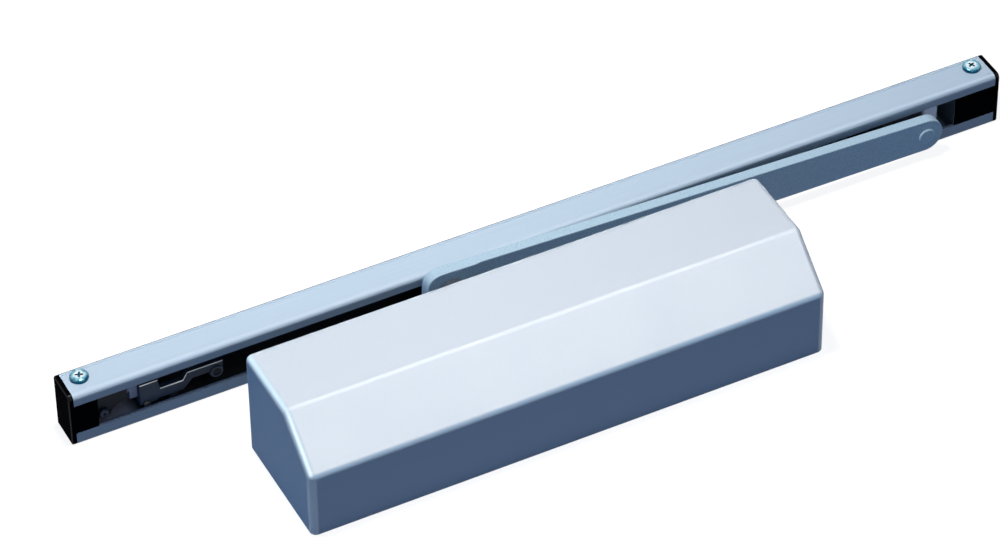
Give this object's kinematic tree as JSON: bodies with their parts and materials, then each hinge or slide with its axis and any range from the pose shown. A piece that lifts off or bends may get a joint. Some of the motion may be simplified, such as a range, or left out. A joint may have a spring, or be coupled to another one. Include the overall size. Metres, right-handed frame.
{
  "type": "door closer",
  "caption": "Slide-rail door closer: sloped silver cover over a hydraulic body, a flat arm on its spindle, and a slotted rail with a hold-open lever.",
  "frame": {"origin": "centre of the four door screws, on the door face that the closer and the rail lie against", "axes": "+X along the rail towards the arm's tip, +Y from the closer to the rail (up on a hung door), +Z out of the door face"},
  "size_m": [0.501, 0.1238, 0.0582],
  "materials": {
    "cover_paint": "satin silver paint",
    "rail_anodised": "satin silver anodised",
    "arm_silver": "silver paint over a forging",
    "cast_body": "die cast, as cast",
    "black_plastic": "fine moulded grain",
    "slider_plastic": "smooth moulded nylon",
    "zinc_steel": "bright zinc plate",
    "dark_steel": "dark phosphate",
    "bright_steel": "ground steel",
    "spring_steel": "oiled spring wire",
    "seal_rubber": "nitrile rubber",
    "brass_metal": "turned brass"
  },
  "bodies": {
    "closer": {"cover": "cover_paint", "closer_body": "cast_body", "left_plug": "dark_steel", "right_plug": "dark_steel", "left_plug_seal": "seal_rubber", "right_plug_seal": "seal_rubber", "closing_spring": "spring_steel", "upper_bearing": "bright_steel", "lower_bearing": "bright_steel", "spindle_seal": "seal_rubber", "upper_cap": "zinc_steel", "lower_cap": "zinc_steel", "cover_clips": "spring_steel", "clip_screws": "zinc_steel"},
    "power_screw": {"power_screw": "zinc_steel"},
    "spring_seat": {"spring_seat": "bright_steel"},
    "piston": {"piston": "bright_steel", "piston_ring": "seal_rubber", "check_ball": "bright_steel", "check_retainer": "brass_metal"},
    "backcheck_valve": {"backcheck_valve": "brass_metal"},
    "closing_valve": {"closing_valve": "brass_metal"},
    "latching_valve": {"latching_valve": "brass_metal"},
    "arm": {"pinion_spindle": "bright_steel", "arm": "arm_silver", "arm_screw": "zinc_steel", "arm_pin": "arm_silver"},
    "slider": {"slider": "slider_plastic", "pin_washer": "slider_plastic"},
    "rail": {"rail": "rail_anodised", "left_end_cap": "black_plastic", "right_end_cap": "black_plastic", "rail_screws": "zinc_steel", "holdopen_base": "dark_steel", "holdopen_bracket": "dark_steel", "clamp_screw": "dark_steel", "tension_screw": "zinc_steel", "holdopen_spring": "spring_steel", "pivot_pin": "bright_steel"},
    "lever": {"holdopen_lever": "dark_steel", "roller_pin": "dark_steel"},
    "roller": {"detent_roller": "bright_steel"},
    "plunger": {"plunger": "bright_steel"}
  },
  "joints": [
    {"name": "arm_swing", "type": "hinge", "parent": "closer", "child": "arm", "pos_m": [-0.0144, 0, 0.0225], "axis": [0, 1, 0], "range_deg": [0, 135], "stiffness_Nm_per_rad": 3, "springref_deg": -68.75},
    {"name": "piston_travel", "type": "slide", "parent": "closer", "child": "piston", "axis": [1, 0, 0], "range_m": [0, 0.02131], "deforming": ["closing_spring"]},
    {"name": "slider_pivot", "type": "hinge", "parent": "arm", "child": "slider", "pos_m": [0.24689, 0.07185, 0.015], "axis": [0, 1, 0], "range_deg": [-75, 15]},
    {"name": "rail_slide", "type": "slide", "parent": "slider", "child": "rail", "axis": [1, 0, 0], "range_m": [-0.008, 0.3534]},
    {"name": "lever_swing", "type": "hinge", "parent": "rail", "child": "lever", "pos_m": [-0.16741, 0.07185, 0.0068], "axis": [0, -1, 0], "range_deg": [0, 5], "stiffness_Nm_per_rad": 2, "springref_deg": -17.19},
    {"name": "plunger_slide", "type": "slide", "parent": "rail", "child": "plunger", "axis": [-1, 0, 0], "range_m": [0, 0.00096], "deforming": ["holdopen_spring"]},
    {"name": "roller_spin", "type": "hinge", "parent": "lever", "child": "roller", "pos_m": [-0.13151, 0.07185, 0.0121], "axis": [0, 1, 0], "continuous": true},
    {"name": "power_adjust", "type": "hinge", "parent": "closer", "child": "power_screw", "pos_m": [0.098, 0, 0.0225], "axis": [1, 0, 0], "range_deg": [0, 1802]},
    {"name": "seat_slide", "type": "slide", "parent": "closer", "child": "spring_seat", "axis": [-1, 0, 0], "range_m": [0, 0.0075], "deforming": ["closing_spring"]},
    {"name": "backcheck_adjust", "type": "hinge", "parent": "closer", "child": "backcheck_valve", "pos_m": [-0.073, -0.0305, 0.0225], "axis": [0, -1, 0], "range_deg": [-180, 180]},
    {"name": "closing_adjust", "type": "hinge", "parent": "closer", "child": "closing_valve", "pos_m": [-0.061, -0.0305, 0.0225], "axis": [0, -1, 0], "range_deg": [-180, 180]},
    {"name": "latching_adjust", "type": "hinge", "parent": "closer", "child": "latching_valve", "pos_m": [-0.049, -0.0305, 0.0225], "axis": [0, -1, 0], "range_deg": [-180, 180]}
  ],
  "couplings": [
    {"joint": "piston_travel", "follows": "arm_swing", "m_per_rad": 0.009},
    {"joint": "plunger_slide", "follows": "lever_swing", "m_per_rad": 0.0109},
    {"joint": "power_adjust", "follows": "seat_slide", "rad_per_m": 4188.8}
  ]
}
